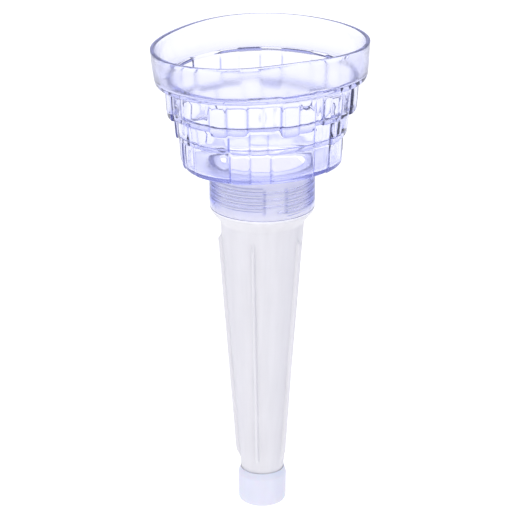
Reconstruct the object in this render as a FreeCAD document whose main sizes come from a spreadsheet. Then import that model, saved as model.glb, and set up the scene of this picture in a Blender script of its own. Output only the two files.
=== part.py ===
"""Long-spout canning funnel: a clear stepped bowl, a screw-in ribbed spout, its seal and its tip cap.

Frame: millimetres, +Z up, origin on the spout's axis in the plane of the neck's lower end.
"""
import FreeCAD, Part
import math
import os
import Sketcher

V = FreeCAD.Vector

SIZES = {
    # bowl, from the mouth down to the neck
    "mouth_radius": 55.5,
    "band_depth": 20.2,
    "band_foot_inset": 0.4,
    "upper_tier_depth": 17.3,
    "upper_tier_inset": 5.1,
    "middle_tier_depth": 13.0,
    "middle_tier_inset": 10.1,
    "lower_tier_depth": 17.2,
    "lower_tier_inset": 12.6,
    "tier_draft": 1.0,
    "stone_relief": 1.2,
    "bowl_wall": 2.3,
    # how far the plan is from round, as shares of the radius
    "oval_share": 0.095,
    "lobe_share": 0.052,
    "shift_share": 0.039,
    # neck
    "neck_radius": 29.0,
    "neck_length": 25.0,
    "neck_wall": 2.3,
    "stop_drop": 1.0,
    "stop_width": 3.2,
    # screw between the neck and the spout
    "thread_pitch": 3.75,
    "thread_start": 2.2,
    "thread_end_room": 4.0,
    "thread_depth": 1.1,
    "thread_foot_width": 1.5,
    "thread_crest_width": 0.8,
    "thread_clearance": 0.3,
    "thread_gap_angle": 27.0,
    "thread_gap_centre": -74.0,
    # spout
    "spigot_wall": 2.3,
    "collar_inset": 0.7,
    "collar_thickness": 1.7,
    "shoulder_depth": 6.8,
    "spout_radius": 23.1,
    "spout_wall": 1.8,
    "taper_length": 149.0,
    "tip_radius": 12.1,
    "land_step": 0.2,
    "land_length": 19.0,
    "rib_count": 5,
    "rib_height": 2.0,
    "rib_thickness": 1.6,
    "rib_start": 7.5,
    "rib_rise": 3.0,
    "rib_end": 5.0,
    "rib_runout": 5.5,
    "rib_turn": 41.0,
    # seal ring and tip cap
    "seal_width": 2.3,
    "seal_thickness": 1.9,
    "seat_clearance": 0.05,
    "cap_clearance": 0.08,
    "cap_wall": 1.6,
    "cap_end_wall": 1.8,
    "cap_lip_width": 0.4,
    "cap_bevel_depth": 3.5,
    "cap_end_gap": 0.6,
    "cap_overlap_gap": 1.0,
    "cap_foot_round": 2.0,
    "cap_foot_draft": 0.2,
}

# Where the plan's departures from round point, in degrees from +X.
OVAL_TURN = 33.0
LOBE_TURN = -15.0
SHIFT_TURN = 159.0

# Share of the mouth's out-of-round that is left at each level.
FOOT_EASE = 0.65
TIER_EASE = 0.45

# Courses of stones round each tier: the angle at which a stone starts and how proud it stands,
# as a share of the relief. A stone ends where the next one starts.
UPPER_STONES = (
    (-143, 0.5), (-122, 1.0), (-110.5, 0.8), (-98.5, 0.0), (-78.5, 1.0), (-67, 0.7), (-55, 0.0), (-49.5, 0.8),
    (-31, 0.2), (-20, 1.0), (-4, 0.4), (9, 0.9), (30, 0.1), (44, 0.8), (57, 0.4), (77, 1.0), (91.5, 0.1),
    (105, 0.7), (118, 1.0), (142, 0.3), (161, 0.9), (177, 0.2), (194, 0.8), (207, 0.1),
)
MIDDLE_STONES = (
    (-149, 0.2), (-138, 0.9), (-113, 0.4), (-98.5, 1.0), (-86, 0.6), (-52, 0.0), (-36, 0.9), (-22, 0.3),
    (1, 1.0), (17, 0.5), (40, 0.0), (52, 0.8), (72, 0.3), (90, 1.0), (104, 0.5), (127, 0.1), (146, 0.9),
    (159, 0.4), (182, 1.0), (196, 0.5),
)
LOWER_STONES = (
    (-143, 0.3), (-114.5, 0.9), (-99, 0.2), (-83.5, 0.8), (-48, 0.1), (-32, 0.7), (-6, 0.2), (16, 0.9),
    (36, 0.3), (60, 1.0), (81, 0.4), (98, 0.0), (118, 0.8), (143, 0.2), (163, 0.9), (186, 0.4), (201, 0.0),
)

PLAN_POINTS = 36        # points that the smooth band's outline is drawn through
OVERRUN = 2.0           # how far a cutting tool passes the face that it opens
EMBED = 0.4             # how far a ridge's foot is sunk into its wall

doc = FreeCAD.newDocument("canning_funnel")
sheet = doc.addObject("Spreadsheet::Sheet", "sizes")
for row, (alias, value) in enumerate(SIZES.items(), start=1):
    sheet.set("A%d" % row, alias)
    sheet.set("B%d" % row, str(value))
    sheet.setAlias("B%d" % row, alias)
doc.recompute()


def size(alias):
    """Value of one cell of the sheet."""
    return float(getattr(sheet, alias))


# ---------------------------------------------------------------- helpers for bodies and sketches
def new_body(name):
    body = doc.addObject("PartDesign::Body", name)
    doc.recompute()
    return body


def origin_feature(body, role):
    for feature in body.Origin.OriginFeatures:
        if feature.Role == role:
            return feature
    raise RuntimeError("no origin feature " + role)


def closed_profile(body, name, corners):
    """Closed outline on the body's XZ plane; each corner is (radius, height) as sheet expressions."""
    sketch = body.newObject("Sketcher::SketchObject", name)
    sketch.AttachmentSupport = (origin_feature(body, "XZ_Plane"), [""])
    sketch.MapMode = "FlatFace"
    count = len(corners)
    for index in range(count):
        following = (index + 1) % count
        start = V(index + 1, index * index, 0)
        end = V(following + 1, following * following, 0)
        sketch.addGeometry(Part.LineSegment(start, end), False)
    for index in range(count):
        following = (index + 1) % count
        sketch.addConstraint(Sketcher.Constraint("Coincident", index, 2, following, 1))
    for index, (radius, height) in enumerate(corners):
        for letter, kind, expression in (("x", "DistanceX", radius), ("z", "DistanceY", height)):
            number = sketch.addConstraint(Sketcher.Constraint(kind, -1, 1, index, 1, 1.0))
            label = "%s%d" % (letter, index)
            sketch.renameConstraint(number, label)
            sketch.setExpression("Constraints." + label, expression)
    doc.recompute()
    return sketch


def revolve(body, name, sketch):
    """Full turn of a profile about the body's own Z axis."""
    feature = body.newObject("PartDesign::Revolution", name)
    feature.Profile = sketch
    feature.ReferenceAxis = (origin_feature(body, "Z_Axis"), [""])
    feature.Angle = 360.0
    doc.recompute()
    return feature


def round_edges(body, name, base, radius_alias, chosen):
    """Fillet on the circular edges of base that chosen(radius, height) picks."""
    names = []
    for index, edge in enumerate(base.Shape.Edges, start=1):
        if isinstance(edge.Curve, Part.Circle) and chosen(edge.Curve.Radius, edge.Curve.Center.z):
            names.append("Edge%d" % index)
    if not names:
        raise RuntimeError("no edge to round on " + base.Label)
    feature = body.newObject("PartDesign::Fillet", name)
    feature.Base = (base, names)
    feature.setExpression("Radius", "sizes." + radius_alias)
    doc.recompute()
    return feature


def near(value, target):
    return abs(value - target) < 1e-4


# ---------------------------------------------------------------- screw thread
def ridge(foot_radius, crest_radius, height, angle_from, angle_to):
    """Trapezoid ridge along a right-hand helix about Z.

    height is where the middle of its foot would be at angle 0; the angles are in degrees.
    """
    pitch = size("thread_pitch")
    rise = pitch * (angle_to - angle_from) / 360.0
    spine = Part.makeHelix(pitch, rise, foot_radius)
    half_foot = size("thread_foot_width") / 2
    half_crest = size("thread_crest_width") / 2
    outline = Part.makePolygon([
        V(foot_radius, 0, -half_foot),
        V(crest_radius, 0, -half_crest),
        V(crest_radius, 0, half_crest),
        V(foot_radius, 0, half_foot),
        V(foot_radius, 0, -half_foot),
    ])
    solid = Part.Wire(spine.Edges).makePipeShell([outline], True, True)
    solid.translate(V(0, 0, height + pitch * angle_from / 360.0))
    solid.rotate(V(0, 0, 0), V(0, 0, 1), angle_from)
    return solid


def half_turns(gap, first_angle, turns):
    """Start and end angle of each half turn, with a gap in degrees centred on its start."""
    for half in range(int(round(2 * turns))):
        start = first_angle + 180.0 * half
        yield start + gap / 2, start + 180.0 - gap / 2


def feature_from(name, shape):
    feature = doc.addObject("Part::Feature", name)
    feature.Shape = shape
    feature.Placement = FreeCAD.Placement()
    return feature


# ---------------------------------------------------------------- bowl
def plan_factor(angle, ease):
    """Radius of the plan at an angle, as a share of the mean radius."""
    oval = size("oval_share") * math.cos(2 * math.radians(angle - OVAL_TURN))
    lobes = size("lobe_share") * math.cos(3 * math.radians(angle - LOBE_TURN))
    shift = size("shift_share") * math.cos(math.radians(angle - SHIFT_TURN))
    return 1 + ease * (oval + lobes + shift)


def plan_point(angle, radius, height):
    return V(radius * math.cos(math.radians(angle)), radius * math.sin(math.radians(angle)), height)


def inset_radius(alias):
    """Mean radius of a band or tier that stands in from the mouth by the inset of that name."""
    return size("mouth_radius") - size(alias)


def smooth_outline(radius, inset, ease, height):
    """Closed smooth curve of the plan at one height, inset by a wall."""
    points = []
    for index in range(PLAN_POINTS):
        angle = 360.0 * index / PLAN_POINTS
        points.append(plan_point(angle, radius * plan_factor(angle, ease) - inset, height))
    curve = Part.BSplineCurve()
    curve.interpolate(Points=points, PeriodicFlag=True)
    return Part.Wire([curve.toShape()])


def stone_outline(stones, radius, inset, height, relief):
    """Closed polygon with a flat for each stone and a small radial step where the relief changes."""
    points = []
    for index, (start, proud) in enumerate(stones):
        end = stones[(index + 1) % len(stones)][0]
        for angle in (start, end):
            reach = radius * plan_factor(angle, TIER_EASE) - inset + relief * proud
            points.append(plan_point(angle, reach, height))
    points.append(points[0])
    return Part.makePolygon(points)


def ring_outline(stones, radius, inset, height):
    """Closed polygon with one corner at each joint between stones."""
    points = []
    for start, _ in stones:
        points.append(plan_point(start, radius * plan_factor(start, TIER_EASE) - inset, height))
    points.append(points[0])
    return Part.makePolygon(points)


def tier_solids(stones, radius, top, foot):
    """Outside and hollow of one tier; its ledge above and its own foot are one wall thick."""
    wall = size("bowl_wall")
    draft = size("tier_draft")
    relief = size("stone_relief")
    outside = Part.makeLoft([
        stone_outline(stones, radius - draft, 0, foot, relief),
        stone_outline(stones, radius, 0, top + wall / 2, relief),
    ], True, True)
    hollow = Part.makeLoft([
        ring_outline(stones, radius - draft, wall, foot + wall),
        ring_outline(stones, radius, wall, top + 1.5 * wall),
    ], True, True)
    return outside, hollow


def make_basin():
    """Smooth band over three stepped tiers of stones, one wall thick, open above and to the drain."""
    wall = size("bowl_wall")
    foot_lower = size("neck_length")
    foot_middle = foot_lower + size("lower_tier_depth")
    foot_upper = foot_middle + size("middle_tier_depth")
    foot_band = foot_upper + size("upper_tier_depth")
    mouth = foot_band + size("band_depth")
    band = Part.makeLoft([
        smooth_outline(inset_radius("band_foot_inset"), 0, FOOT_EASE, foot_band),
        smooth_outline(size("mouth_radius"), 0, 1.0, mouth),
    ], True, True)
    hollow = Part.makeLoft([
        smooth_outline(inset_radius("band_foot_inset"), wall, FOOT_EASE, foot_band + wall),
        smooth_outline(size("mouth_radius"), wall, 1.0, mouth),
    ], True, True)
    above = smooth_outline(size("mouth_radius"), wall, 1.0, mouth)
    lid = Part.Face(above).extrude(V(0, 0, OVERRUN))
    hollows = [lid]
    for stones, alias, top, foot in (
        (UPPER_STONES, "upper_tier_inset", foot_band, foot_upper),
        (MIDDLE_STONES, "middle_tier_inset", foot_upper, foot_middle),
        (LOWER_STONES, "lower_tier_inset", foot_middle, foot_lower),
    ):
        outside, inside = tier_solids(stones, inset_radius(alias), top, foot)
        band = band.fuse(outside)
        hollows.append(inside)
    drain = Part.makeCylinder(drain_radius, 2 * wall + OVERRUN, V(0, 0, foot_lower - OVERRUN))
    basin = band.cut(hollow)
    for tool in hollows + [drain]:
        basin = basin.cut(tool)
    return basin


bore_radius = size("neck_radius") - size("neck_wall")
drain_radius = bore_radius - size("stop_width")
basin = feature_from("basin", make_basin())

neck = new_body("neck")
BORE = "sizes.neck_radius - sizes.neck_wall"
BORE_TOP = "sizes.neck_length - sizes.stop_drop"
neck_profile = closed_profile(neck, "neck_profile", [
    (BORE, "0 * sizes.neck_radius"),
    ("sizes.neck_radius", "0 * sizes.neck_radius"),
    ("sizes.neck_radius", "sizes.neck_length + sizes.bowl_wall / 2"),
    (BORE + " - sizes.stop_width", "sizes.neck_length + sizes.bowl_wall / 2"),
    (BORE + " - sizes.stop_width", BORE_TOP),
    (BORE, BORE_TOP),
])
revolve(neck, "neck_tube", neck_profile)

# The screw has as many half turns as the spigot has room for.
pitch = size("thread_pitch")
gap_centre = size("thread_gap_centre")
spigot_length = size("neck_length") - size("stop_drop") - size("seal_thickness") - 2 * size("seat_clearance")
thread_room = spigot_length - size("thread_start") - size("thread_end_room")
turns = math.floor(2 * thread_room / pitch) / 2
neck_ridges = []
for angle_from, angle_to in half_turns(0.0, gap_centre, turns - 0.5):
    neck_ridges.append(ridge(
        bore_radius + EMBED, bore_radius - size("thread_depth"),
        size("thread_start") + pitch / 2 - pitch * gap_centre / 360.0, angle_from, angle_to))
neck_thread = feature_from("neck_thread", neck_ridges[0].multiFuse(neck_ridges[1:]))

bowl = doc.addObject("Part::MultiFuse", "bowl")
bowl.Shapes = [basin, neck, neck_thread]

# ---------------------------------------------------------------- spout
spout_body = new_body("spout_body")
SPIGOT = BORE + " - sizes.thread_depth - sizes.thread_clearance"
SPIGOT_TOP = BORE_TOP + " - sizes.seal_thickness - 2 * sizes.seat_clearance"
COLLAR = "sizes.neck_radius - sizes.collar_inset"
LAND = "sizes.tip_radius - sizes.land_step"
SHOULDER_FOOT = "-sizes.seat_clearance - sizes.collar_thickness - sizes.shoulder_depth"
TAPER_FOOT = SHOULDER_FOOT + " - sizes.taper_length"
spout_profile = closed_profile(spout_body, "spout_profile", [
    (SPIGOT, SPIGOT_TOP),
    (SPIGOT, "-sizes.seat_clearance"),
    (COLLAR, "-sizes.seat_clearance"),
    (COLLAR, "-sizes.seat_clearance - sizes.collar_thickness"),
    ("sizes.spout_radius", SHOULDER_FOOT),
    ("sizes.tip_radius", TAPER_FOOT),
    (LAND, TAPER_FOOT),
    (LAND, TAPER_FOOT + " - sizes.land_length"),
    (LAND + " - sizes.spout_wall", TAPER_FOOT + " - sizes.land_length"),
    (LAND + " - sizes.spout_wall", TAPER_FOOT),
    ("sizes.spout_radius - sizes.spout_wall", SHOULDER_FOOT),
    (SPIGOT + " - sizes.spigot_wall", "-sizes.seat_clearance"),
    (SPIGOT + " - sizes.spigot_wall", SPIGOT_TOP),
])
spout_tube = revolve(spout_body, "spout_tube", spout_profile)


def on_taper(drop, proud):
    """Expressions of a point that lies drop below the shoulder and stands proud of the taper."""
    slope = "(sizes.spout_radius - sizes.tip_radius) / sizes.taper_length"
    radius = "sizes.spout_radius - (%s) * %s + %s" % (drop, slope, proud)
    return radius, "%s - (%s)" % (SHOULDER_FOOT, drop)


RIB_FOOT = "sizes.taper_length - sizes.rib_end"
rib_profile = closed_profile(spout_body, "rib_profile", [
    on_taper("sizes.rib_start", "-sizes.spout_wall / 2"),
    on_taper("sizes.rib_start", "sizes.rib_height / 4"),
    on_taper("sizes.rib_start + sizes.rib_rise / 3", "0.8 * sizes.rib_height"),
    on_taper("sizes.rib_start + sizes.rib_rise", "sizes.rib_height"),
    on_taper(RIB_FOOT + " - sizes.rib_runout", "sizes.rib_height"),
    on_taper(RIB_FOOT, "0 * sizes.rib_height"),
    on_taper(RIB_FOOT, "-sizes.spout_wall / 2"),
])
rib = spout_body.newObject("PartDesign::Pad", "rib")
rib.Profile = rib_profile
rib.Midplane = True
rib.setExpression("Length", "sizes.rib_thickness")
doc.recompute()
ribs = spout_body.newObject("PartDesign::PolarPattern", "ribs")
ribs.Originals = [rib]
ribs.Axis = (origin_feature(spout_body, "Z_Axis"), [""])
ribs.Angle = 360.0
ribs.setExpression("Occurrences", "sizes.rib_count")
spout_body.Tip = ribs
spout_body.setExpression("Placement.Rotation.Angle", "sizes.rib_turn")
doc.recompute()

spigot_radius = bore_radius - size("thread_depth") - size("thread_clearance")
spigot_ridges = []
for angle_from, angle_to in half_turns(size("thread_gap_angle"), gap_centre, turns):
    spigot_ridges.append(ridge(
        spigot_radius - EMBED, bore_radius - size("thread_clearance"),
        size("thread_start") - pitch * gap_centre / 360.0, angle_from, angle_to))
spigot_thread = feature_from("spigot_thread", Part.makeCompound(spigot_ridges))

spout = doc.addObject("Part::MultiFuse", "spout")
spout.Shapes = [spout_body, spigot_thread]

# ---------------------------------------------------------------- seal ring
# It is as wide as the spigot outside, so that it comes out past the ridges in the neck.
spout_seal = new_body("spout_seal")
SEAL_FOOT = SPIGOT_TOP + " + sizes.seat_clearance"
SEAL_TOP = BORE_TOP + " - sizes.seat_clearance"
seal_profile = closed_profile(spout_seal, "seal_profile", [
    (SPIGOT + " - sizes.seal_width", SEAL_FOOT),
    (SPIGOT, SEAL_FOOT),
    (SPIGOT, SEAL_TOP),
    (SPIGOT + " - sizes.seal_width", SEAL_TOP),
])
revolve(spout_seal, "seal_ring", seal_profile)

# ---------------------------------------------------------------- tip cap
tip_cap = new_body("tip_cap")
CAP_BORE = LAND + " + sizes.cap_clearance"
CAP_TOP = TAPER_FOOT + " - sizes.cap_overlap_gap"
CAP_FLOOR = TAPER_FOOT + " - sizes.land_length - sizes.cap_end_gap"
cap_profile = closed_profile(tip_cap, "cap_profile", [
    ("0 * sizes.cap_wall", CAP_FLOOR),
    (CAP_BORE, CAP_FLOOR),
    (CAP_BORE, CAP_TOP),
    (CAP_BORE + " + sizes.cap_lip_width", CAP_TOP),
    (CAP_BORE + " + sizes.cap_wall", CAP_TOP + " - sizes.cap_bevel_depth"),
    (CAP_BORE + " + sizes.cap_wall - sizes.cap_foot_draft", CAP_FLOOR + " - sizes.cap_end_wall"),
    ("0 * sizes.cap_wall", CAP_FLOOR + " - sizes.cap_end_wall"),
])
cap_shell = revolve(tip_cap, "cap_shell", cap_profile)
cap_foot = cap_shell.Shape.BoundBox.ZMin
round_edges(tip_cap, "cap_foot_edge", cap_shell, "cap_foot_round",
            lambda radius, height: near(height, cap_foot))

# ---------------------------------------------------------------- check and write
doc.recompute()
NODES = [bowl, spout, spout_seal, tip_cap]
for item in doc.Objects:
    for bad in ("Invalid", "Error"):
        if bad in item.State:
            raise RuntimeError("%s is %s" % (item.Label, bad))
for node in NODES:
    if node.Shape.isNull() or not node.Shape.isValid():
        raise RuntimeError(node.Label + " has no valid shape")
    if len(node.Shape.Solids) != 1:
        raise RuntimeError("%s is %d solids" % (node.Label, len(node.Shape.Solids)))

os.makedirs("parts", exist_ok=True)
for node in NODES:
    node.Shape.exportStep("parts/%s.step" % node.Label)
    box = node.Shape.BoundBox
    print("%-10s volume %9.1f mm3  x %.2f %.2f  y %.2f %.2f  z %.2f %.2f" % (
        node.Label, node.Shape.Volume, box.XMin, box.XMax, box.YMin, box.YMax, box.ZMin, box.ZMax))
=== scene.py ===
import bpy
import bmesh
import math
import numpy as np
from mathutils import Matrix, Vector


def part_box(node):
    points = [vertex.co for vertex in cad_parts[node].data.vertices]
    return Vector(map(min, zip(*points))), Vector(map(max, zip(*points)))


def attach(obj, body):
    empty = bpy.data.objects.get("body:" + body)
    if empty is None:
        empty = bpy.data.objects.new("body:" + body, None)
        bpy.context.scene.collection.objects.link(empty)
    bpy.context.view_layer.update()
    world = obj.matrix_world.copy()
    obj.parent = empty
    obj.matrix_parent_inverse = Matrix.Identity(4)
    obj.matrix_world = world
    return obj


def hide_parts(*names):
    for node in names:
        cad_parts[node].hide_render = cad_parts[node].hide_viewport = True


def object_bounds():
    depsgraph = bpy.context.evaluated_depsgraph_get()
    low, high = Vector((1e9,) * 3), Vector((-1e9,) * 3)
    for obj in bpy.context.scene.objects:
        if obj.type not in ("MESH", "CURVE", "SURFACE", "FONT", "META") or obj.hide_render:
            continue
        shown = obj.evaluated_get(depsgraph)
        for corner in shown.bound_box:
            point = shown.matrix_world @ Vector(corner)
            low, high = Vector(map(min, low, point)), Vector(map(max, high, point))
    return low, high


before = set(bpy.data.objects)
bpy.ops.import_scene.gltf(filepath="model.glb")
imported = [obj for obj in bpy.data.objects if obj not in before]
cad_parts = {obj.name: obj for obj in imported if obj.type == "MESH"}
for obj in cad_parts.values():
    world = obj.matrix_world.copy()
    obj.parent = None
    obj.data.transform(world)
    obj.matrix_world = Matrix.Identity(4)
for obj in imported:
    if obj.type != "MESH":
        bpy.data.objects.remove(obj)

cad_box = [list(corner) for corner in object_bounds()]
scene = bpy.context.scene
scene.view_settings.view_transform = "Standard"

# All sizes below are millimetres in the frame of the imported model; meshes are written in metres.
MM = 0.001

# ---------------------------------------------------------------- sizes of the bowl
MOUTH_RADIUS = 55.5
BAND_FOOT_RADIUS = 55.1
UPPER_RADIUS = 50.4
MIDDLE_RADIUS = 45.4
LOWER_RADIUS = 42.9
TIER_DRAFT = 1.0
STONE_RELIEF = 1.2
BOWL_WALL = 2.3
RIM_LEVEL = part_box("bowl")[1].z / MM
BAND_FOOT_LEVEL = 72.5
UPPER_FOOT_LEVEL = 55.2
MIDDLE_FOOT_LEVEL = 42.2
NECK_TOP = 25.0
NECK_RADIUS = 29.0
BORE_RADIUS = 26.7
BORE_TOP = 24.0
DRAIN_RADIUS = 23.5
BAND_WAIST_RISE = 9.0       # height over the band's foot at which its curve ends
BAND_WAIST_SHARE = 0.55     # how much of the way from the foot's radius to the mouth's it has gone by then
FLOOR_TOP = NECK_TOP + BOWL_WALL
BOWL_COLUMNS = 452

# How much of the plan's out-of-round each part of the bowl takes.
BAND_EASE, FOOT_EASE, TIER_EASE = 1.0, 0.65, 0.45

# Stone faces and joints, outside and (a softer copy) inside.
JOINT_CUT = 0.5
STONE_SWELL = 0.3
CORNER_RISE = 0.9
INNER_RELIEF_SHARE, INNER_JOINT_CUT, INNER_LIFT_SHARE = 0.2, 0.05, 0.15

# Degrees either side of a joint: the step to the next stone, the rounded corners, the rise of a face
# and the joint's line.
STEP_WIDTH, CORNER_WIDTH, PILLOW_WIDTH, LINE_WIDTH = 1.2, 1.6, 2.4, 0.75

# ---------------------------------------------------------------- sizes of the screw
PITCH = 3.75
THREAD_START = 2.2
THREAD_DEPTH = 1.1
HALF_CREST, HALF_FOOT = 0.4, 0.75
GAP_CENTRE = -74.0
GAP_ANGLE = 27.0
SPIGOT_TURNS, NECK_TURNS = 4.0, 3.5
SHADE_LINE_REACH, SHADE_LINE_WIDTH = 0.88, 0.30     # where a ridge's flanks meet the spigot, and how wide the painted shade line there is

# ---------------------------------------------------------------- sizes of the spout, seal and cap
SPIGOT_RADIUS = 25.3
SPIGOT_TOP = 22.0
SPIGOT_BORE = 23.0
SEAT = -0.05
COLLAR_RADIUS = 28.3
COLLAR_FOOT = -1.75
SHOULDER_FOOT = -8.55
SPOUT_RADIUS = 23.1
TAPER_LENGTH = 149.0
TAPER_FOOT = SHOULDER_FOOT - TAPER_LENGTH
TIP_RADIUS = 12.1
LAND_RADIUS = 11.9
LAND_FOOT = TAPER_FOOT - 19.0
SPOUT_WALL = 1.8
RIB_ANGLES = 41.0 + 72.0 * np.arange(5)
RIB_HEIGHT, RIB_FLAT, RIB_HALF_WIDTH = 2.0, 0.45, 1.25
RIB_START, RIB_RISE, RIB_END, RIB_RUNOUT = 7.5, 3.0, 144.0, 5.5
CAP_BORE = 11.98
CAP_WALL = 1.6
CAP_TOP = TAPER_FOOT - 1.0
CAP_FLOOR = LAND_FOOT - 0.6
CAP_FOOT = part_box("tip_cap")[0].z / MM
SPOUT_COLUMNS = 260
SPIGOT_RUN, TAPER_RUN = 0, 4

# Stones round each tier, one row each: start angle in degrees, how proud it stands (share of the relief),
# how far its foot is above the tier's level in millimetres, and how deep the joint at its start is cut
# (share of the joint cut).
UPPER_STONES = np.array([
    (-142.2, .5, .3, .5), (-121.6, 1, -1.9, .7), (-111, .8, -.8, .7), (-98.9, 0, 1.4, .8),
    (-89.8, .1, 1.4, .2), (-77.8, 1, -2.4, .9), (-65.6, .7, -1.5, .7), (-53.2, 0, 1, .8), (-47.8, .8, .7, .6),
    (-41.4, .6, .6, .3), (-30.7, .2, .6, .6), (-20, .8, .8, .6), (-4, .4, .4, .5), (9, .7, -.3, .6),
    (30, .1, .6, .6), (44, .8, -.6, .6), (57, .4, .4, .5), (77, 1, -1.2, .7), (91.5, .1, 1, .6),
    (105, .7, -.5, .3), (118, 1, -1, .9), (142, .3, .6, .5), (161, .9, -.8, .7), (177, .2, .7, .5),
    (194, .8, -.6, .6), (207, .1, .4, .5)])
MIDDLE_STONES = np.array([
    (-143.3, .3, .2, .6), (-134.5, .9, .6, .6), (-112.5, .4, .3, 1.3), (-98.5, 1, .1, .7),
    (-86.1, .6, -.1, .5), (-49, 0, 0, 1.3), (-34.1, .9, -.6, .6), (-28.3, .6, -.4, .4), (-20, .5, -.2, .4),
    (1, .7, -.3, .6), (17, .5, .3, .6), (40, 0, .5, .6), (52, .8, -.5, .7), (72, .3, .4, .5),
    (90, 1, -.6, .7), (104, .5, .2, .5), (127, .1, .6, .6), (146, .9, -.5, .7), (159, .4, .2, .5),
    (182, 1, -.6, .7), (196, .5, .1, .6)])
LOWER_STONES = np.array([
    (-143, .3, 0, .5), (-112.9, .9, 0, 1.3), (-98.5, .2, 0, .6), (-83.6, .8, 0, .7), (-46.6, .1, 0, 1.3),
    (-32, .7, 0, .6), (-6, .2, 0, .5), (16, .9, 0, .7), (36, .3, 0, .5), (60, 1, 0, .7), (81, .4, 0, .5),
    (98, 0, 0, .6), (118, .8, 0, .7), (143, .2, 0, .5), (163, .9, 0, .7), (186, .4, 0, .5), (201, 0, 0, .5)])


# ---------------------------------------------------------------- meshes from arrays
def smooth_rise(value, low, high):
    """0 below low, 1 above high, and 3t^2 - 2t^3 between them."""
    t = np.clip((value - low) / (high - low), 0.0, 1.0)
    return t * t * (3.0 - 2.0 * t)


def turn_from(angle, start):
    """Signed turn in degrees from start to angle, wrapped into -180 to 180."""
    return (angle - start + 180.0) % 360.0 - 180.0


def crowded_angles(centres, count, crowd, width):
    """Angles round a full turn, packed closer near the given centres.

    They are equal steps of the running total of 1 + crowd * exp(-(turn / width)^2) over the nearest centre.
    """
    fine = np.linspace(-180.0, 180.0, 14401)
    nearest = np.min(np.abs(turn_from(fine[:, None], np.asarray(centres)[None, :])), axis=1)
    total = np.concatenate(([0.0], np.cumsum(1.0 + crowd * np.exp(-(nearest[1:] / width) ** 2))))
    return np.interp(np.arange(count) * total[-1] / count, total, fine)


def loop_of_corners(corners, rounds, runs, arc_steps):
    """Closed profile at every angle, through corners that are rounded by quadratic arcs.

    corners is (corner, angle, radius and height). Each corner gives way to the arc
    (1-t)^2 A + 2t(1-t) P + t^2 B, with A and B its rounding's length away along the two sides, and
    the straight run to the next corner is cut into equal parts. Also returns, for each row, the run
    that it is on (-1 - corner on an arc) and how far along that run it lies.
    """
    before = np.roll(corners, 1, axis=0) - corners
    after = np.roll(corners, -1, axis=0) - corners
    before /= np.linalg.norm(before, axis=2, keepdims=True)
    after /= np.linalg.norm(after, axis=2, keepdims=True)
    reach = np.asarray(rounds)[:, None, None]
    arc_in = corners + before * reach
    arc_out = corners + after * reach
    rows, run_of, along = [], [], []
    for k, parts in enumerate(runs):
        for t in np.linspace(0.0, 1.0, arc_steps[k]):
            rows.append((1 - t) ** 2 * arc_in[k] + 2 * t * (1 - t) * corners[k] + t * t * arc_out[k])
            run_of.append(-1 - k)
            along.append(0.0)
        following = arc_in[(k + 1) % len(runs)]
        for t in np.arange(1, parts) / parts:
            rows.append((1 - t) * arc_out[k] + t * following)
            run_of.append(k)
            along.append(t)
    return np.array(rows), np.array(run_of), np.array(along)


def grid_of_corners(corner_rows):
    """Radius and height grids of a rounded loop, and each row's run and place along it.

    A corner row is (radius, height, rounding, steps on the run that follows, steps on the arc).
    """
    corners = np.array([np.stack([radius, height], axis=1) for radius, height, _, _, _ in corner_rows])
    rounds, runs, arc_steps = zip(*(row[2:] for row in corner_rows))
    rows, run_of, along = loop_of_corners(corners, rounds, runs, arc_steps)
    return rows[:, :, 0], rows[:, :, 1], run_of, along


def lathe_mesh(name, radius, height, angles, on_axis=False):
    """Closed mesh of a grid: point (row, column) is (radius cos, radius sin, height) at its angle.

    Columns always close on themselves. Rows close on themselves too, unless the profile starts and
    ends on the axis, where each pole is welded to one point.
    """
    turn = np.radians(angles)[None, :]
    points = np.stack([radius * np.cos(turn), radius * np.sin(turn), height + 0.0 * turn], axis=-1) * MM
    rows, columns = points.shape[:2]
    last = rows - 1 if on_axis else rows
    row, column = np.meshgrid(np.arange(last), np.arange(columns), indexing="ij")
    row_on, column_on = (row + 1) % rows, (column + 1) % columns
    faces = np.stack([row * columns + column, row * columns + column_on,
                      row_on * columns + column_on, row_on * columns + column], axis=-1).reshape(-1, 4)
    flat = points.reshape(-1, 3)
    a, b, c, d = (flat[faces[:, k]] for k in range(4))
    volume = (np.einsum("ij,ij->i", a, np.cross(b, c)) + np.einsum("ij,ij->i", a, np.cross(c, d))).sum()
    if volume < 0:
        faces = faces[:, ::-1]
    mesh = bpy.data.meshes.new(name)
    mesh.from_pydata(flat.tolist(), [], faces.tolist())
    if on_axis:
        work = bmesh.new()
        work.from_mesh(mesh)
        bmesh.ops.remove_doubles(work, verts=work.verts, dist=1e-7)
        work.to_mesh(mesh)
        work.free()
    mesh.polygons.foreach_set("use_smooth", np.ones(len(mesh.polygons), dtype=bool))
    mesh.update()
    piece = bpy.data.objects.new(name, mesh)
    scene.collection.objects.link(piece)
    return piece


def carry_value(piece, label, grid):
    """Stores a grid of values, one for each point of the piece's mesh, under a name."""
    layer = piece.data.attributes.new(label, "FLOAT", "POINT")
    layer.data.foreach_set("value", grid.ravel().astype(np.float32))


# ---------------------------------------------------------------- the screw as a height field
def turn_from_gap(angle):
    """Turn in degrees, without sign, from the nearest of the gaps, which lie half a turn apart."""
    return np.abs((angle - GAP_CENTRE + 90.0) % 180.0 - 90.0)


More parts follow.
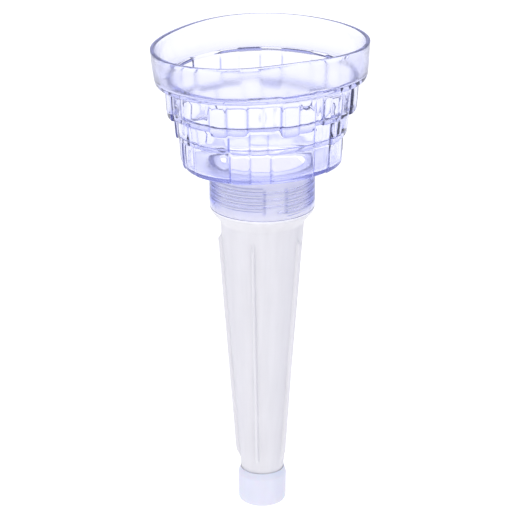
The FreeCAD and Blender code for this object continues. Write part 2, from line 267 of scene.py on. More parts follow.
def ridge_height(angles, height, base, first, last, gap=0.0):
    """Share of full depth, 0 to 1, of a helical ridge with sloped flanks at each (height, angle).

    The ridge's middle climbs base + pitch * (turned angle - gap centre) / 360. Its share is 1 within
    half a crest of the middle and falls to 0 at half a foot. It runs from first to last turned angle,
    and a gap of that many degrees is left at every half turn. The second result is painted shade: a bell
    that is 1 along the foot of its lower flank and 0.6 along the foot of its upper one.
    """
    share = np.zeros(np.broadcast(angles, height).shape)
    ridge_shade = np.zeros_like(share)
    start = angles + 360.0 * np.ceil((first - angles) / 360.0 - 1.0)
    for lap in range(int(math.ceil((last - first) / 360.0)) + 2):
        turned = start + 360.0 * lap
        middle = base + PITCH * (turned - GAP_CENTRE) / 360.0
        flank = 1.0 - smooth_rise(np.abs(height - middle), HALF_CREST - 0.15, HALF_FOOT + 0.15)
        ends = smooth_rise(turned, first, first + 5.0) * (1.0 - smooth_rise(turned, last - 5.0, last))
        if gap:
            ends = ends * smooth_rise(turn_from_gap(turned), gap / 2, gap / 2 + 3.0)
        share = np.maximum(share, flank * ends)
        # Painted shade: dark lines along the feet of the ridge's lower and upper flanks.
        lower = np.exp(-((height - middle + SHADE_LINE_REACH) / SHADE_LINE_WIDTH) ** 2)
        upper = np.exp(-((height - middle - SHADE_LINE_REACH) / SHADE_LINE_WIDTH) ** 2)
        ridge_shade = np.maximum(ridge_shade, np.maximum(lower, 0.6 * upper) * ends)
    return share, ridge_shade


# ---------------------------------------------------------------- bowl
def plan(angles, ease):
    """Radius of the bowl's plan as a share of its mean: an oval, three lobes and a shift, times ease."""
    oval = 0.095 * np.cos(2 * np.radians(angles - 33.0))
    lobes = 0.052 * np.cos(3 * np.radians(angles + 15.0))
    shift = 0.039 * np.cos(np.radians(angles - 159.0))
    return 1.0 + ease * (oval + lobes + shift)


def stone_course(stones, angles):
    """Relief, foot lift, joint depth, rounded corners, pillow and joint line of a course, at each angle.

    Relief and foot lift step from stone to stone by smooth rises about a joint. The joint and the line
    are the highest of the bells depth * exp(-(turn / width)^2) round the joints, the rounded corners
    are the highest of depth * exp(-|turn| / width), and the pillow is 1 in the middle of a stone and 0
    at its joints.
    """
    turns = turn_from(angles[None, :], stones[:, 0][:, None])
    owner = np.argmin(np.where(turns >= 0, turns, 1e9), axis=0)
    order = np.where(np.any(turns >= 0, axis=0), owner, len(stones) - 1)
    ahead = (order + 1) % len(stones)
    since = turn_from(angles, stones[order, 0])
    until = -turn_from(angles, stones[ahead, 0])
    stepped = []
    for column in (1, 2):
        here = stones[order, column]
        behind = stones[order - 1, column]
        coming = stones[ahead, column]
        entry = 0.5 + 0.5 * smooth_rise(since, 0.0, STEP_WIDTH)
        leaving = 0.5 * smooth_rise(-until, -STEP_WIDTH, 0.0)
        stepped.append(here + (1 - entry) * (behind - here) + leaving * (coming - here))
    width = 0.7 + 0.35 * stones[:, 3][:, None]
    joint = (stones[:, 3][:, None] * np.exp(-(turns / width) ** 2)).max(axis=0)
    corner = (stones[:, 3][:, None] * np.exp(-np.abs(turns) / CORNER_WIDTH)).max(axis=0)
    pillow = 1.0 - np.exp(-(np.minimum(since, until) / PILLOW_WIDTH) ** 2)
    line = (np.minimum(stones[:, 3], 1.0)[:, None] * np.exp(-(turns / LINE_WIDTH) ** 2)).max(axis=0)
    return stepped[0], stepped[1], joint, corner, pillow, line


# Places on the bowl's profile: run k follows corner k of bowl_corners, and -1 - k is the arc at corner k.
NECK_RUN, UNDERSIDE, LOWER_RUN, MIDDLE_RUN, UPPER_RUN, BORE_RUN = 0, 1, 2, 4, 6, 22
LOWER_FOOT, MIDDLE_FOOT, UPPER_FOOT = -3, -5, -7
BAND_FOOT, BAND_WAIST, RIM_OUTSIDE, RIM_INSIDE = -9, -10, -11, -12
OUTER_LEDGES = (3, 5, 7)
INNER_TIERS = (14, 16, 18)
BAND_RUNS = (8, 9, BAND_WAIST)
RIM_TOP = 10
FLOOR_TOP_RUN, DRAIN_RUN, STOP_RUN = 19, 20, 21
FLOOR_PLACES = (UNDERSIDE, FLOOR_TOP_RUN, DRAIN_RUN, STOP_RUN, -20, -21, -22)

# Tint from 0 to 1 of the band, neck and bore, and painted shade along the screw ridges and in the dark
# strokes at the gap's ends.
BAND_TINT_AT_FOOT, BAND_TINT_AT_RIM = 0.20, 0.04
NECK_TINT, NECK_TOP_TINT, NECK_GAP_TINT = 0.26, 0.18, 0.07
BORE_TINT, RIDGE_SHADE_TINT, STROKE_SHADE_TINT = 0.10, 0.14, 0.4

# Heights in mm between which the neck's top and the band's haze come in, and a stroke's width in degrees.
NECK_TOP_FROM, NECK_TOP_FULL = 19.0, 21.5
BAND_HAZE_FROM, BAND_HAZE_FULL = 71.0, 77.0
STROKE_WIDTH = 1.4

# Roughness that haze adds: for each unit of tint, on the band, and on the floor.
HAZE_PER_TINT, BAND_HAZE, FLOOR_HAZE = 0.10, 0.16, 0.28

# How deeply (0 to 1) the plastic is darkened all round at a place as painted shade, and how strong a painted
# light, standing for light passed on through the plastic, it has there.
# Painted shade: deep violet on the tiers' and band's feet, the ledges, the rim and the underside.
PAINTED_SHADE_PLACES = (
    ((LOWER_FOOT,), 0.20), ((MIDDLE_FOOT, UPPER_FOOT), 0.55), ((BAND_FOOT,), 0.34), (OUTER_LEDGES, 0.22),
    ((RIM_OUTSIDE, RIM_INSIDE), 0.10), ((RIM_TOP,), 0.03), ((UNDERSIDE,), 0.16),
)
# Painted light: the tiers, band, rim and floor are given an emitted lift, standing for light passed on
# through the plastic.
PAINTED_GLOW_PLACES = (
    ((LOWER_RUN, MIDDLE_RUN, UPPER_RUN) + OUTER_LEDGES + INNER_TIERS, 0.045), ((BAND_FOOT, BAND_WAIST), 0.12),
    ((RIM_OUTSIDE, RIM_INSIDE, RIM_TOP), 0.24), (FLOOR_PLACES + (LOWER_FOOT,), 0.22),
)


def bowl_corners(angles, courses):
    """Corners of the bowl's profile at every angle, from the neck's end up the outside and down the inside.

    One row each: radius, height, rounding, steps on the run that follows, and steps on the arc. A radius
    is mean radius * plan + relief - joint cut. Inside, the wall follows with a fifth of the relief.
    """
    zero = np.zeros_like(angles)
    tier_plan = plan(angles, TIER_EASE)
    radii = (LOWER_RADIUS, MIDDLE_RADIUS, UPPER_RADIUS)
    levels = (NECK_TOP, MIDDLE_FOOT_LEVEL, UPPER_FOOT_LEVEL)
    outside, inside = [], []
    for (proud, lift, joint, corner, _, _), radius, level in zip(courses, radii, levels):
        relief = STONE_RELIEF * proud - JOINT_CUT * joint
        shell = INNER_RELIEF_SHARE * STONE_RELIEF * proud - INNER_JOINT_CUT * joint - BOWL_WALL
        foot = level + lift + CORNER_RISE * corner * (level > NECK_TOP)
        inner_foot = level + INNER_LIFT_SHARE * lift + BOWL_WALL
        outside.append((radius * tier_plan + relief, (radius - TIER_DRAFT) * tier_plan + relief, foot))
        inside.append((radius * tier_plan + shell, (radius - TIER_DRAFT) * tier_plan + shell, inner_foot))
    # l, m and u are the lower, middle and upper tier, i is inside, and z is the height of the foot.
    (l_top, l_foot, l_z), (m_top, m_foot, m_z), (u_top, u_foot, u_z) = outside
    (li_top, li_foot, li_z), (mi_top, mi_foot, mi_z), (ui_top, ui_foot, ui_z) = inside
    band_foot = BAND_FOOT_RADIUS * plan(angles, FOOT_EASE)
    mouth = MOUTH_RADIUS * plan(angles, BAND_EASE)
    band_waist = (1 - BAND_WAIST_SHARE) * band_foot + BAND_WAIST_SHARE * mouth
    foot_level = BAND_FOOT_LEVEL + zero
    waist_level = foot_level + BAND_WAIST_RISE
    rim_level = RIM_LEVEL + zero
    ledge_level = foot_level + BOWL_WALL
    upper_proud = courses[2][0]
    ledge_wave = 0.5 - upper_proud      # half a millimetre up or down, against the upper stones
    neck, bore, drain = NECK_RADIUS + zero, BORE_RADIUS + zero, DRAIN_RADIUS + zero
    return [
        (neck, zero, 0.35, 5, 3),
        (neck, l_z, 0.7, 3, 3),
        (l_foot, l_z, 2.6, 6, 7),
        (l_top, m_z, 0.5, 2, 3),
        (m_foot, m_z, 1.1, 6, 5),
        (m_top, u_z, 0.5, 2, 3),
        (u_foot, u_z, 1.3, 6, 5),
        (u_top, foot_level, 0.7, 2, 3),
        (band_foot, foot_level, 2.4, 4, 6),
        (band_waist, waist_level, 3.0, 3, 4),
        (mouth, rim_level, 0.6, 2, 4),
        (mouth - BOWL_WALL, rim_level, 0.6, 3, 4),
        (band_waist - BOWL_WALL, waist_level, 3.0, 4, 4),
        (band_foot - BOWL_WALL, ledge_level, 1.6, 2, 4),
        (ui_top, ledge_level + ledge_wave, 0.7, 5, 3),
        (ui_foot, ui_z, 1.0, 2, 3),
        (mi_top, ui_z, 0.7, 5, 3),
        (mi_foot, mi_z, 0.7, 2, 3),
        (li_top, mi_z, 0.5, 5, 3),
        (li_foot, li_z, 1.4, 4, 4),
        (drain, FLOOR_TOP + zero, 0.5, 2, 3),
        (drain, BORE_TOP + zero, 0.3, 2, 3),
        (bore, BORE_TOP + zero, 0.3, 72, 3),
        (bore, zero, 0.35, 2, 3),
    ]


def colour_bowl(bowl, angles, height, run_of, ridge, courses):
    """Carries tinting with painted shade, haze, painted light and side from 0 to 1 on the bowl's points.

    The tinting is deepest at joints, feet, the neck's plain top and the ends of the screw's ridges; at the
    feet, ledges, band foot, rim, underside and along the screw's ridges it is painted shade. The haze is a
    tenth of the tinting, more on the band, and even on the floor. The painted light stands for light passed
    on through the plastic. The side is 1 on the neck's outside.
    """
    tint_and_shade, painted_glow = np.zeros_like(height), np.zeros_like(height)
    for values, rows in ((tint_and_shade, PAINTED_SHADE_PLACES), (painted_glow, PAINTED_GLOW_PLACES)):
        for places, share in rows:
            values[np.isin(run_of, places)] = share
    band = np.isin(run_of, BAND_RUNS)[:, None]
    paler = (BAND_TINT_AT_FOOT - BAND_TINT_AT_RIM) * smooth_rise(height, BAND_FOOT_LEVEL, RIM_LEVEL - 4.0)
    tint_and_shade = np.where(band, BAND_TINT_AT_FOOT - paler, tint_and_shade)
    tiers = ((LOWER_RUN, LOWER_FOOT), (MIDDLE_RUN, MIDDLE_FOOT), (UPPER_RUN, UPPER_FOOT))
    for places, course in zip(tiers, courses):
        on_tier = np.isin(run_of, places)[:, None]
        tint_and_shade = np.where(on_tier, np.maximum(tint_and_shade, course[5][None, :]), tint_and_shade)
    neck = (run_of == NECK_RUN)[:, None]
    plain_zone = np.exp(-(turn_from(angles, GAP_CENTRE) / (GAP_ANGLE / 2 - 0.5)) ** 4)[None, :]
    neck_top = smooth_rise(height, NECK_TOP_FROM, NECK_TOP_FULL)
    tint_and_shade = np.where(neck, NECK_TINT + NECK_TOP_TINT * neck_top - NECK_GAP_TINT * plain_zone, tint_and_shade)
    gap_ends = GAP_CENTRE + np.array([-0.5, 0.5]) * GAP_ANGLE
    strokes = sum(np.exp(-(turn_from(angles, end) / STROKE_WIDTH) ** 2) for end in gap_ends)
    bore = (run_of == BORE_RUN)[:, None]
    # Painted shade: darker lines along the bore's screw ridges and strokes at their ends by the gap.
    tint_and_shade = np.where(bore, BORE_TINT + ridge * (RIDGE_SHADE_TINT + STROKE_SHADE_TINT * strokes[None, :]), tint_and_shade)
    haze = HAZE_PER_TINT * tint_and_shade
    band_rise = smooth_rise(height, BAND_HAZE_FROM, BAND_HAZE_FULL)
    haze = np.where(band, haze + BAND_HAZE * band_rise, haze)
    haze = np.where(np.isin(run_of, FLOOR_PLACES)[:, None], FLOOR_HAZE, haze)
    carry_value(bowl, "tint_and_shade", np.clip(tint_and_shade, 0.0, 1.0))
    carry_value(bowl, "haze", haze)
    carry_value(bowl, "painted_glow", painted_glow)
    carry_value(bowl, "side", np.broadcast_to(neck, height.shape))


def make_bowl():
    """Band, three tiers of stones, floor, drain, threaded bore and neck as one closed grid.

    At each angle the profile is the loop of bowl_corners. Each stone's face swells by 4t(1 - t) up the
    tier times its pillow, and the screw's ridges stand in from the bore.
    """
    joints = np.concatenate([stones[:, 0] for stones in (UPPER_STONES, MIDDLE_STONES, LOWER_STONES)])
    angles = crowded_angles(np.unique(np.round(joints, 0)), BOWL_COLUMNS, 2.6, 1.5)
    courses = [stone_course(stones, angles) for stones in (LOWER_STONES, MIDDLE_STONES, UPPER_STONES)]
    radius, height, run_of, along = grid_of_corners(bowl_corners(angles, courses))
    for run, course in zip((LOWER_RUN, MIDDLE_RUN, UPPER_RUN), courses):
        swell = STONE_SWELL * 4 * along * (1 - along) * (run_of == run)
        radius = radius + swell[:, None] * course[4][None, :]
    ridge, _ = ridge_height(angles[None, :], height, THREAD_START + PITCH / 2,
                            GAP_CENTRE, GAP_CENTRE + 360.0 * NECK_TURNS)
    radius = np.where((run_of == BORE_RUN)[:, None], radius - THREAD_DEPTH * ridge, radius)
    bowl = lathe_mesh("bowl_shell", radius, height, angles)
    colour_bowl(bowl, angles, height, run_of, ridge, courses)
    return bowl


# ---------------------------------------------------------------- spout
def make_spout():
    """Threaded spigot, collar, conical shoulder and ribbed taper as one closed grid.

    The ribs are a height field: rib height along the taper times a bell with a flat top across the rib,
    measured in millimetres round the surface, so that a rib keeps its thickness as the taper narrows.
    One value is painted shade along the flanks of the screw's ridges and at the ends of the ridges at the
    gaps. A painted light, standing for the light passed on through the neck, rises from 0 at the collar to 1
    on the spigot, less along that painted shade.
    """
    angles = crowded_angles(RIB_ANGLES, SPOUT_COLUMNS, 3.0, 7.0)
    one = np.ones_like(angles)
    inner_land, inner_spout = LAND_RADIUS - SPOUT_WALL, SPOUT_RADIUS - SPOUT_WALL
    corner_rows = [
        (SPIGOT_RADIUS, SPIGOT_TOP, 0.5, 84, 4),
        (SPIGOT_RADIUS, SEAT, 0.25, 2, 3),
        (COLLAR_RADIUS, SEAT, 0.35, 2, 4),
        (COLLAR_RADIUS, COLLAR_FOOT, 0.5, 4, 4),
        (SPOUT_RADIUS, SHOULDER_FOOT, 1.2, 64, 5),
        (TIP_RADIUS, TAPER_FOOT, 0.09, 1, 2),
        (LAND_RADIUS, TAPER_FOOT, 0.09, 6, 2),
        (LAND_RADIUS, LAND_FOOT, 0.4, 1, 4),
        (inner_land, LAND_FOOT, 0.4, 4, 4),
        (inner_land, TAPER_FOOT, 0.5, 16, 3),
        (inner_spout, SHOULDER_FOOT, 1.0, 4, 4),
        (SPIGOT_BORE, SEAT, 0.8, 6, 4),
        (SPIGOT_BORE, SPIGOT_TOP, 0.5, 1, 4),
    ]
    radius, height, run_of, _ = grid_of_corners([(r * one, z * one, *rest) for r, z, *rest in corner_rows])
    drop = SHOULDER_FOOT - height
    rib_run = smooth_rise(drop, RIB_START, RIB_START + RIB_RISE)
    rib_run = rib_run * (1 - smooth_rise(drop, RIB_END - RIB_RUNOUT, RIB_END))
    from_rib = np.min(np.abs(turn_from(angles[:, None], RIB_ANGLES[None, :])), axis=1)
    across = np.radians(from_rib)[None, :] * radius
    rib = (1 - smooth_rise(across, RIB_FLAT, RIB_HALF_WIDTH)) * rib_run
    on_taper = (run_of == TAPER_RUN)[:, None]
    radius = np.where(on_taper, radius + RIB_HEIGHT * rib, radius)
    ridge, ridge_shade = ridge_height(angles[None, :], height, THREAD_START, GAP_CENTRE,
                               GAP_CENTRE + 360.0 * SPIGOT_TURNS, GAP_ANGLE)
    on_spigot = (run_of == SPIGOT_RUN)[:, None]
    radius = np.where(on_spigot, radius + THREAD_DEPTH * ridge, radius)
    spout = lathe_mesh("spout_moulding", radius, height, angles)
    # Painted shade: dark strokes at the ends of the ridges by the gaps.
    stroke = np.exp(-((turn_from_gap(angles) - GAP_ANGLE / 2) / 1.6) ** 2)[None, :]
    stroke = stroke * smooth_rise(height, 2.0, 4.0) * (1 - smooth_rise(height, 16.0, 18.0))
    ridge_shade = np.where(on_spigot, np.maximum(ridge_shade, 0.55 * stroke), 0.0)
    carry_value(spout, "ridge_shade", ridge_shade)
    # Painted light on the spigot and collar, less along the painted shade of the ridges.
    carry_value(spout, "painted_passed_light", smooth_rise(height, -1.6, 0.2) * (1 - 0.75 * ridge_shade))
    return spout


def make_seal():
    """Flat ring: a rectangle with rounded corners carried round the axis."""
    angles = np.linspace(-180.0, 180.0, 192, endpoint=False)
    one = np.ones_like(angles)
    low, high = SPIGOT_TOP - SEAT, BORE_TOP + SEAT
    radius, height, _, _ = grid_of_corners([(r * one, z * one, 0.35, 3, 5) for r, z in (
        (SPIGOT_BORE, low), (SPIGOT_RADIUS, low), (SPIGOT_RADIUS, high), (SPIGOT_BORE, high))])
    return lathe_mesh("seal_ring", radius, height, angles)


def make_cap():
    """Push-on cap: floor, bore, thin lip, long bevel and rounded foot as a profile carried round the axis.

    Each corner (radius, height, rounding) gives way to an arc like those of loop_of_corners.
    """
    angles = np.linspace(-180.0, 180.0, 160, endpoint=False)
    outer = CAP_BORE + CAP_WALL
    path = [
        (0.0, CAP_FLOOR, 0.0), (CAP_BORE, CAP_FLOOR, 0.5), (CAP_BORE, CAP_TOP, 0.12),
        (CAP_BORE + 0.4, CAP_TOP, 0.15), (outer, CAP_TOP - 3.5, 0.5), (outer - 0.2, CAP_FOOT, 2.6),
        (0.0, CAP_FOOT, 0.0),
    ]
    profile = [path[0][:2]]
    for before, (r, z, rounding), after in zip(path, path[1:], path[2:]):
        corner = np.array([r, z])
        sides = [np.array(p[:2]) - corner for p in (before, after)]
        start, end = (corner + s / np.linalg.norm(s) * rounding for s in sides)
        for t in np.linspace(0.0, 1.0, 9):
            profile.append(tuple((1 - t) ** 2 * start + 2 * t * (1 - t) * corner + t * t * end))
    profile.append(path[-1][:2])
    profile = np.array(profile)
    radius, height = (profile[:, k:k + 1] + 0 * angles for k in (0, 1))
    return lathe_mesh("cap_moulding", radius, height, angles, on_axis=True)


# ---------------------------------------------------------------- surface effects
def new_group(name, inputs, outputs):
    """Node group with float inputs (name, default) and named float outputs."""
    group = bpy.data.node_groups.new(name, "ShaderNodeTree")
    for label, default in inputs:
        socket = group.interface.new_socket(label, in_out="INPUT", socket_type="NodeSocketFloat")
        socket.default_value = default
    for label in outputs:
        group.interface.new_socket(label, in_out="OUTPUT", socket_type="NodeSocketFloat")
    return group, group.nodes.new("NodeGroupInput"), group.nodes.new("NodeGroupOutput")


def arithmetic(tree, operation, first, second):
    """Math node on two values, each a number or a socket."""
    node = tree.nodes.new("ShaderNodeMath")
    node.operation = operation
    for socket, value in zip(node.inputs, (first, second)):
        if isinstance(value, (int, float)):
            socket.default_value = value
        else:
            tree.links.new(value, socket)
    return node.outputs[0]


def map_range(tree, value, low, high, to_low=0.0, to_high=1.0):
    """Smooth step from to_low at low to to_high at high."""
    node = tree.nodes.new("ShaderNodeMapRange")
    node.interpolation_type = "SMOOTHSTEP"
    for label, number in (("From Min", low), ("From Max", high), ("To Min", to_low), ("To Max", to_high)):
        node.inputs[label].default_value = number
    tree.links.new(value, node.inputs["Value"])
    return node.outputs["Result"]


def noise(tree, coordinate, stretch, scale, detail):
    """Noise from 0 to 1 on a coordinate that is stretched first."""
    mapping = tree.nodes.new("ShaderNodeMapping")
    mapping.inputs["Scale"].default_value = stretch
    tree.links.new(coordinate, mapping.inputs["Vector"])
    node = tree.nodes.new("ShaderNodeTexNoise")
    node.inputs["Scale"].default_value = scale
    node.inputs["Detail"].default_value = detail
    tree.links.new(mapping.outputs["Vector"], node.inputs["Vector"])
    return node.outputs["Fac"]


def make_moulding_group():
    """Moulded plastic: fine tool grain, slow flow marks down the part, and light handling scuffs."""
    group, into, out = new_group(
        "moulded_finish", (("Grain", 0.3), ("Flow", 0.5), ("Scuff", 0.3)), ("Tone", "Gloss loss", "Height"))
    place = group.nodes.new("ShaderNodeTexCoord").outputs["Object"]
    grain = noise(group, place, (1, 1, 1), 2600.0, 2.0)
    flow = noise(group, place, (1, 1, 0.07), 210.0, 3.0)
    scuff = noise(group, place, (1, 1, 1), 70.0, 6.0)
    flow_tone = arithmetic(group, "MULTIPLY", arithmetic(group, "SUBTRACT", flow, 0.5), into.outputs["Flow"])
    scuff_tone = arithmetic(group, "MULTIPLY", arithmetic(group, "SUBTRACT", scuff, 0.5),
                            into.outputs["Scuff"])
    tone = arithmetic(group, "ADD", 0.5, arithmetic(group, "ADD", flow_tone, scuff_tone))
    height = arithmetic(group, "ADD", arithmetic(group, "MULTIPLY", grain, into.outputs["Grain"]), flow_tone)
    group.links.new(tone, out.inputs["Tone"])
    group.links.new(scuff_tone, out.inputs["Gloss loss"])
    group.links.new(height, out.inputs["Height"])
    return group


MOULDED_FINISH = make_moulding_group()


def plastic(name, dark, light, grain, flow, scuff, roughness, bump, settings):
    """Principled plastic whose colour, roughness and bump follow the moulded finish.

    Returns the material, its tree, its shader and the sockets that carry colour and roughness.
    """
    material = bpy.data.materials.new(name)
    material.use_nodes = True
    tree = material.node_tree
    shader = tree.nodes["Principled BSDF"]
    finish = tree.nodes.new("ShaderNodeGroup")
    finish.node_tree = MOULDED_FINISH
    for label, value in (("Grain", grain), ("Flow", flow), ("Scuff", scuff)):
        finish.inputs[label].default_value = value
    ramp = tree.nodes.new("ShaderNodeValToRGB")
    ramp.color_ramp.elements[0].position = 0.3
    ramp.color_ramp.elements[1].position = 0.7
    ramp.color_ramp.elements[0].color = (*dark, 1)
    ramp.color_ramp.elements[1].color = (*light, 1)
    tree.links.new(finish.outputs["Tone"], ramp.inputs["Fac"])
    tree.links.new(ramp.outputs["Color"], shader.inputs["Base Color"])
    gloss_loss = arithmetic(tree, "MULTIPLY", finish.outputs["Gloss loss"], 0.3)
    worn = arithmetic(tree, "ADD", roughness, gloss_loss)
    tree.links.new(worn, shader.inputs["Roughness"])
    relief = tree.nodes.new("ShaderNodeBump")
    relief.inputs["Strength"].default_value = bump
    relief.inputs["Distance"].default_value = 0.0002
    tree.links.new(finish.outputs["Height"], relief.inputs["Height"])
    tree.links.new(relief.outputs["Normal"], shader.inputs["Normal"])
    for label, value in settings.items():
        shader.inputs[label].default_value = value
    return material, tree, shader, ramp.outputs["Color"], worn


def paint_passed_light(tree, shader, share, level, tone):
    """Painted light: an emitted colour that stands for light coming through the plastic, from none at share 0
    to level * tone at share 1.
    """
    painted_glow = tree.nodes.new("ShaderNodeValToRGB")
    painted_glow.color_ramp.elements[0].color = (0, 0, 0, 1)
    painted_glow.color_ramp.elements[1].color = (*(level * c for c in tone), 1)
    tree.links.new(share, painted_glow.inputs["Fac"])
    tree.links.new(painted_glow.outputs["Color"], shader.inputs["Emission Color"])
    shader.inputs["Emission Strength"].default_value = 1.0


def surface_value(tree, label):
    """A value that the piece's mesh carries at each point."""
    node = tree.nodes.new("ShaderNodeAttribute")
    node.attribute_name = label
    return node.outputs["Fac"]


def mixed(tree, share, colour, other):
    """colour, a socket, at share 0, going over to the plain colour other at share 1."""
    mix = tree.nodes.new("ShaderNodeMix")
    mix.data_type = "RGBA"
    tree.links.new(share, mix.inputs["Factor"])
    tree.links.new(colour, mix.inputs[6])
    mix.inputs[7].default_value = (*other, 1)
    return mix.outputs[2]


# Deep violet of the plastic, also the colour of the painted shade on the bowl.
DEEP_VIOLET = (0.10, 0.13, 0.64)
# Colour of the painted light on the clear bowl.
PAINTED_GLOW_VIOLET = (0.44, 0.47, 0.84)
# Violet of the painted shade along the spout's screw ridges.
RIDGE_SHADE_VIOLET = (0.30, 0.32, 0.58)
# Colour of the painted light on the spout and the seal.
PAINTED_GLOW_MILKY = (0.97, 0.97, 1.0)


def make_clear_plastic():
    """Clear violet-tinted plastic, deeper in colour with the mesh's tinting (dark joints, and painted shade
    at feet, ledges, band foot, rim, underside and the screw's ridges) and where it is seen along its face.

    Share of the deep violet: the greatest of the mesh's tinting, a grazing share, and on the round neck a
    stronger grazing share, partly painted shade on the neck's sides. The mesh's haze roughens the band and
    the floor, and absorption deepens the colour with the path through the wall.
    """
    material, tree, shader, colour, worn = plastic(
        "clear_violet_plastic", (0.975, 0.975, 0.995), (1.0, 1.0, 1.0), 0.0, 0.5, 0.3, 0.03, 0.05,
        {"Transmission Weight": 1.0, "IOR": 1.38, "Specular IOR Level": 0.5})
    weight = tree.nodes.new("ShaderNodeLayerWeight")
    weight.inputs["Blend"].default_value = 0.5
    grazing = map_range(tree, weight.outputs["Facing"], 0.55, 0.98, 0.0, 0.45)
    # The neck's sides go deep violet where seen along the face: partly the deeper colour of the longer path,
    # partly painted shade.
    neck_side_shade = arithmetic(tree, "MULTIPLY", surface_value(tree, "side"),
                            map_range(tree, weight.outputs["Facing"], 0.2, 0.72, 0.0, 1.0))
    tint_shade_grazing = arithmetic(tree, "MAXIMUM", surface_value(tree, "tint_and_shade"), grazing)
    share = arithmetic(tree, "MAXIMUM", tint_shade_grazing, neck_side_shade)
    tree.links.new(mixed(tree, share, colour, DEEP_VIOLET), shader.inputs["Base Color"])
    rough = arithmetic(tree, "ADD", worn, surface_value(tree, "haze"))
    tree.links.new(rough, shader.inputs["Roughness"])
    # Painted light: the bowl emits where the mesh asks, standing for light passed on through the plastic.
    paint_passed_light(tree, shader, surface_value(tree, "painted_glow"), 0.5, PAINTED_GLOW_VIOLET)
    depth = tree.nodes.new("ShaderNodeVolumeAbsorption")
    depth.inputs["Color"].default_value = (0.30, 0.34, 0.86, 1)
    depth.inputs["Density"].default_value = 36.0
    tree.links.new(depth.outputs["Volume"], tree.nodes["Material Output"].inputs["Volume"])
    return material


def make_spout_plastic():
    """Milky white plastic with violet painted shade along the screw's ridges, and a painted light that stands
    for light passed on in the neck.
    """
    material, tree, shader, colour, _ = plastic(
        "milky_white_plastic", (0.70, 0.69, 0.715), (0.76, 0.75, 0.775), 0.35, 0.7, 0.25, 0.38, 0.25,
        {"Subsurface Weight": 0.3, "Subsurface Scale": 0.002, "Subsurface Radius": (1, 1, 1), "IOR": 1.5})
    ridge_shade = surface_value(tree, "ridge_shade")
    # Painted shade: violet along the screw's ridges and at their ends by the gaps.
    tree.links.new(mixed(tree, ridge_shade, colour, RIDGE_SHADE_VIOLET), shader.inputs["Base Color"])
    # Painted light: the spigot emits, standing for light passed on through the neck.
    paint_passed_light(tree, shader, surface_value(tree, "painted_passed_light"), 0.46, PAINTED_GLOW_MILKY)
    return material


def make_seal_silicone():
    """Soft translucent silicone, evenly lit by a painted light that stands for the light passed on through
    the wall round it.
    """
    painted_glow = [0.55 * part for part in PAINTED_GLOW_MILKY]
    return plastic(
        "seal_silicone", (0.80, 0.80, 0.84), (0.86, 0.86, 0.90), 0.6, 0.2, 0.4, 0.55, 0.3,
        {"Subsurface Weight": 0.8, "Subsurface Scale": 0.004, "Subsurface Radius": (1, 1, 1),
         "Emission Color": (*painted_glow, 1), "Emission Strength": 1.0})[0]


def make_cap_plastic():
    """White plastic with a faint blue cast, a little glossier than the spout."""
    return plastic(
        "cap_white_plastic", (0.70, 0.70, 0.80), (0.77, 0.77, 0.87), 0.3, 0.3, 0.3, 0.33, 0.2,
        {"Subsurface Weight": 0.2, "Subsurface Scale": 0.003, "IOR": 1.5})[0]


# ---------------------------------------------------------------- pieces on their bodies
for make, node, body, slot, make_material in (
    (make_bowl, "bowl", "bowl", "clear_plastic", make_clear_plastic),
    (make_spout, "spout", "spout", "spout_plastic", make_spout_plastic),
    (make_seal, "spout_seal", "seal", "seal_silicone", make_seal_silicone),
    (make_cap, "tip_cap", "tip_cap", "cap_plastic", make_cap_plastic),
):
    piece = make()
    piece.data.materials.append(make_material())
    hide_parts(node)
    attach(piece, body)

# ---------------------------------------------------------------- camera
CAMERA_SIDEWAYS = -0.0007
CAMERA_DISTANCE = 1.217
CAMERA_HEIGHT = 0.441
CAMERA_PITCH = math.radians(21.3)
LENS = 163.0

camera_data = bpy.data.cameras.new("camera")
camera_data.lens = LENS
camera_data.sensor_width = 36.0
camera = bpy.data.objects.new("camera", camera_data)
scene.collection.objects.link(camera)
camera.location = (CAMERA_SIDEWAYS, -CAMERA_DISTANCE, CAMERA_HEIGHT)
camera.rotation_euler = (math.pi / 2 - CAMERA_PITCH, 0, 0)
scene.camera = camera

# ---------------------------------------------------------------- floor and studio light
FLOOR_HALF = 60.0
FLOOR_DROP = 0.042      # clear of the cap when the spout is screwed out and the cap is pulled off it
floor_level = cad_box[0][2] - FLOOR_DROP
floor_corners = [(x * FLOOR_HALF, y * FLOOR_HALF, floor_level)
                 for x, y in ((-1, -1), (1, -1), (1, 1), (-1, 1))]
floor_mesh = bpy.data.meshes.new("studio_floor")
floor_mesh.from_pydata(floor_corners, [], [(0, 1, 2, 3)])
floor = bpy.data.objects.new("studio_floor", floor_mesh)
scene.collection.objects.link(floor)
floor_paint = bpy.data.materials.new("floor_paint")
floor_paint.use_nodes = True
for label, value in (("Base Color", (0.97, 0.97, 0.97, 1)), ("Roughness", 0.9),
                     ("Emission Color", (1, 1, 1, 1)), ("Emission Strength", 0.34)):
    floor_paint.node_tree.nodes["Principled BSDF"].inputs[label].default_value = value
floor_mesh.materials.append(floor_paint)


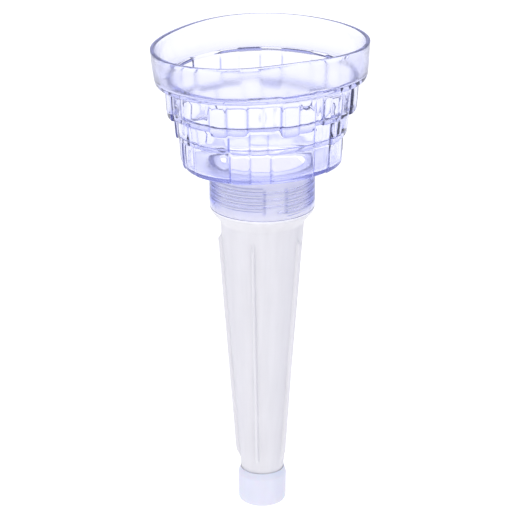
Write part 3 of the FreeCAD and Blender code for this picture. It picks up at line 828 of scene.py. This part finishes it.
HORIZON_COLOUR = (0.78, 0.80, 0.95)
FLAG_COLOUR = (0.30, 0.33, 0.66)
BACKDROP_COLOUR = (1.2, 1.2, 1.2)
STUDIO_STRENGTH = 0.86


def make_studio():
    """White dome with a pale horizon, and a violet-grey flag low down at each side.

    By the direction's parts: the horizon colour gives way to white as z rises, and the flags' colour
    comes in as the sideways part |x + 0.1| nears 1 while z is low. Straight to the camera it is white.
    """
    world = bpy.data.worlds.new("studio")
    scene.world = world
    world.use_nodes = True
    tree = world.node_tree
    split = tree.nodes.new("ShaderNodeSeparateXYZ")
    tree.links.new(tree.nodes.new("ShaderNodeTexCoord").outputs["Generated"], split.inputs["Vector"])
    sideways = arithmetic(tree, "ABSOLUTE", arithmetic(tree, "ADD", split.outputs["X"], 0.1), 0.0)
    flag = arithmetic(tree, "MULTIPLY", map_range(tree, sideways, 0.45, 0.9),
                      map_range(tree, split.outputs["Z"], 0.25, 0.65, 1.0, 0.0))
    dome = tree.nodes.new("ShaderNodeValToRGB")
    dome.color_ramp.elements[0].color = (*HORIZON_COLOUR, 1)
    dome.color_ramp.elements[1].position = 0.4
    dome.color_ramp.elements[1].color = (1.0, 1.0, 1.0, 1)
    tree.links.new(split.outputs["Z"], dome.inputs["Fac"])
    flagged = mixed(tree, flag, dome.outputs["Color"], FLAG_COLOUR)
    straight = tree.nodes.new("ShaderNodeLightPath").outputs["Is Camera Ray"]
    tree.links.new(mixed(tree, straight, flagged, BACKDROP_COLOUR), tree.nodes["Background"].inputs["Color"])
    tree.nodes["Background"].inputs["Strength"].default_value = STUDIO_STRENGTH


make_studio()

for name, place, turn, width, power in (
    ("front_softbox", (-0.5, -1.6, 1.3), (52, 0, -17), 1.4, 9.0),
    ("right_softbox", (1.5, -0.4, 1.1), (0, 55, 10), 1.0, 1.0),
):
    lamp = bpy.data.lights.new(name, "AREA")
    lamp.size = width
    lamp.energy = power
    softbox = bpy.data.objects.new(name, lamp)
    softbox.location = place
    softbox.rotation_euler = [math.radians(a) for a in turn]
    scene.collection.objects.link(softbox)
